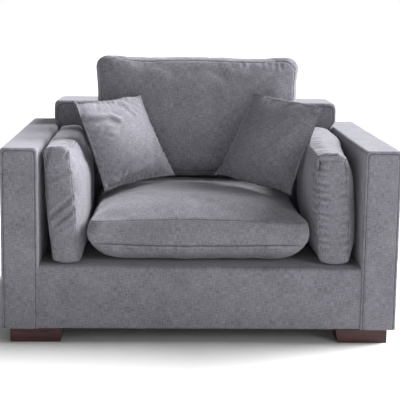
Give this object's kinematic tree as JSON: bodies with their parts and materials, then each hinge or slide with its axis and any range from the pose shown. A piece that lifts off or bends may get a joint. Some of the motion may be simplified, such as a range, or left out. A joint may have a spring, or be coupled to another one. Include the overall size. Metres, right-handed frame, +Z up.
{
  "type": "upholstered armchair",
  "caption": "Wide low upholstered armchair with slab arms, loose seat and back cushions, bolsters inside the arms, scatter cushions and low block feet.",
  "frame": {"origin": "on the floor under the middle of the chair", "axes": "+X to the right as seen from the front (the sitter's left), +Y to the rear, +Z up; the chair faces -Y"},
  "size_m": [1.37, 0.98, 0.9546],
  "materials": {
    "grey_cloth": "matte",
    "pine": "matte",
    "hardboard": "matte",
    "spring_steel": "satin",
    "webbing": "matte",
    "foam": "matte",
    "deck_wadding": "matte",
    "cushion_fill": "matte",
    "black_lining": "matte",
    "stained_mahogany": "satin",
    "zip_tape": "matte"
  },
  "bodies": {
    "frame": {"arm_cover_left": "grey_cloth", "arm_cover_right": "grey_cloth", "arm_foam_left": "foam", "arm_foam_right": "foam", "arm_front_post_left": "pine", "arm_front_post_right": "pine", "arm_inner_panel_left": "hardboard", "arm_inner_panel_right": "hardboard", "arm_rear_post_left": "pine", "arm_rear_post_right": "pine", "arm_top_rail_left": "pine", "arm_top_rail_right": "pine", "back_bottom_rail": "pine", "back_cover": "grey_cloth", "back_foam": "foam", "back_side_panel_left": "pine", "back_side_panel_right": "pine", "back_strap_1": "webbing", "back_strap_2": "webbing", "back_top_rail": "pine", "base_cover": "grey_cloth", "centre_brace": "pine", "corner_block_front_left": "pine", "corner_block_front_right": "pine", "corner_block_rear_left": "pine", "corner_block_rear_right": "pine", "deck_pad": "deck_wadding", "dust_cover": "black_lining", "foot_front_left": "stained_mahogany", "foot_front_right": "stained_mahogany", "foot_rear_left": "stained_mahogany", "foot_rear_right": "stained_mahogany", "front_rail": "pine", "front_rail_foam": "foam", "rear_rail": "pine", "seat_spring_1": "spring_steel", "seat_spring_2": "spring_steel", "seat_spring_3": "spring_steel", "seat_spring_4": "spring_steel", "side_rail_left": "pine", "side_rail_right": "pine"},
    "seat_cushion": {"seat_cushion_core": "cushion_fill", "seat_cushion_cover": "grey_cloth", "seat_cushion_zip": "zip_tape"},
    "back_cushion": {"back_cushion_core": "cushion_fill", "back_cushion_cover": "grey_cloth", "back_cushion_zip": "zip_tape"},
    "side_cushion_left": {"side_cushion_left_core": "cushion_fill", "side_cushion_left_cover": "grey_cloth", "side_cushion_left_zip": "zip_tape"},
    "side_cushion_right": {"side_cushion_right_core": "cushion_fill", "side_cushion_right_cover": "grey_cloth", "side_cushion_right_zip": "zip_tape"},
    "scatter_cushion_left": {"scatter_cushion_left_core": "cushion_fill", "scatter_cushion_left_cover": "grey_cloth", "scatter_cushion_left_zip": "zip_tape"},
    "scatter_cushion_right": {"scatter_cushion_right_core": "cushion_fill", "scatter_cushion_right_cover": "grey_cloth", "scatter_cushion_right_zip": "zip_tape"}
  },
  "joints": [
    {"name": "seat_cushion_lift", "type": "slide", "parent": "frame", "child": "seat_cushion", "axis": [0, 0, 1], "range_m": [0, 0.5]},
    {"name": "back_cushion_lift", "type": "slide", "parent": "seat_cushion", "child": "back_cushion", "axis": [0, 0.1219, 0.9925], "range_m": [0, 0.48]},
    {"name": "scatter_cushion_left_lift", "type": "slide", "parent": "seat_cushion", "child": "scatter_cushion_left", "axis": [0, 0, 1], "range_m": [0, 0.52]},
    {"name": "scatter_cushion_right_lift", "type": "slide", "parent": "seat_cushion", "child": "scatter_cushion_right", "axis": [0, 0, 1], "range_m": [0, 0.52]},
    {"name": "side_cushion_left_pull", "type": "slide", "parent": "frame", "child": "side_cushion_left", "axis": [0, -1, 0], "range_m": [0, 0.72]},
    {"name": "side_cushion_right_pull", "type": "slide", "parent": "frame", "child": "side_cushion_right", "axis": [0, -1, 0], "range_m": [0, 0.72]}
  ]
}
